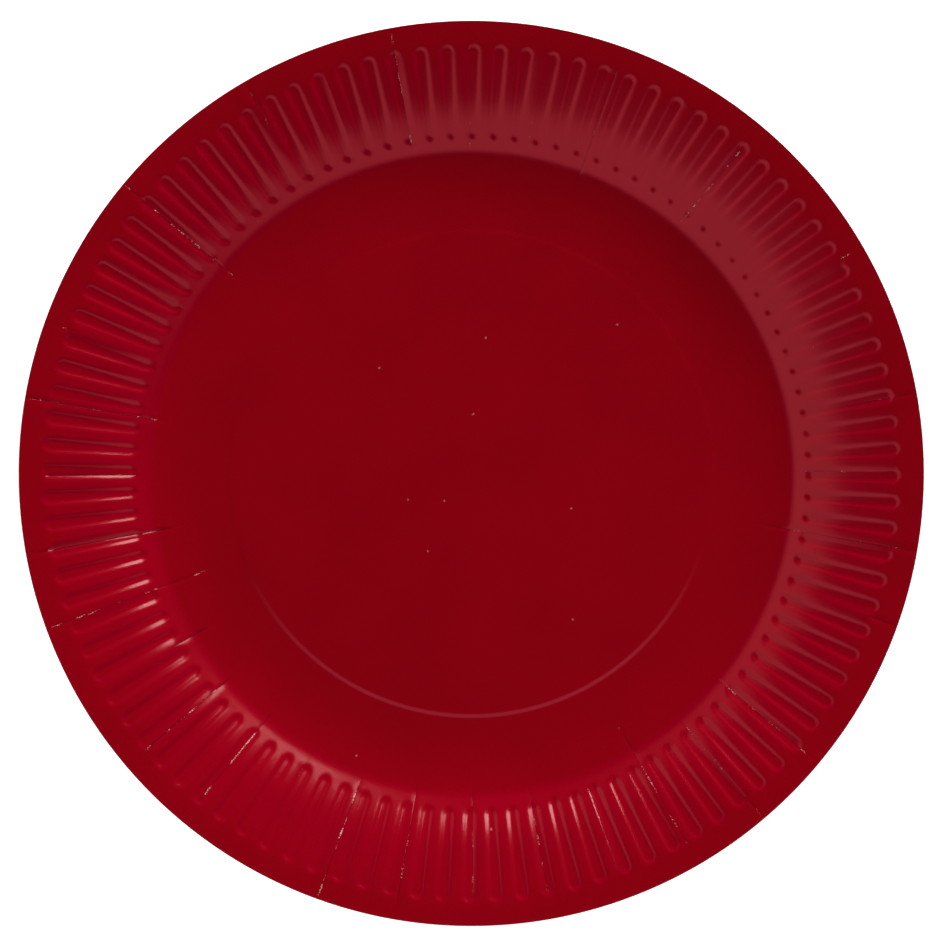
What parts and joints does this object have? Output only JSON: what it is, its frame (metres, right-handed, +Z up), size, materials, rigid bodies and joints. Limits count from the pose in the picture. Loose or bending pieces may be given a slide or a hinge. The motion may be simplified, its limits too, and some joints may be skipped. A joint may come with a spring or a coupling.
{
  "type": "stack of paper plates",
  "caption": "Nested stack of round pressed paperboard plates with a fluted sloping wall, a flat brim and an embossed floor ring, for serving food.",
  "frame": {"origin": "middle of the stack's underside, at the level of the surface that it stands on", "axes": "+Z up, out of the plates' open side; +X and +Y across the plates, each along the middle of a flute"},
  "size_m": [0.23, 0.23, 0.017],
  "materials": {
    "coated_board": "gloss"
  },
  "bodies": {
    "root": {"plate_01": "coated_board", "plate_02": "coated_board", "plate_03": "coated_board", "plate_04": "coated_board", "plate_05": "coated_board", "plate_06": "coated_board"}
  },
  "joints": []
}
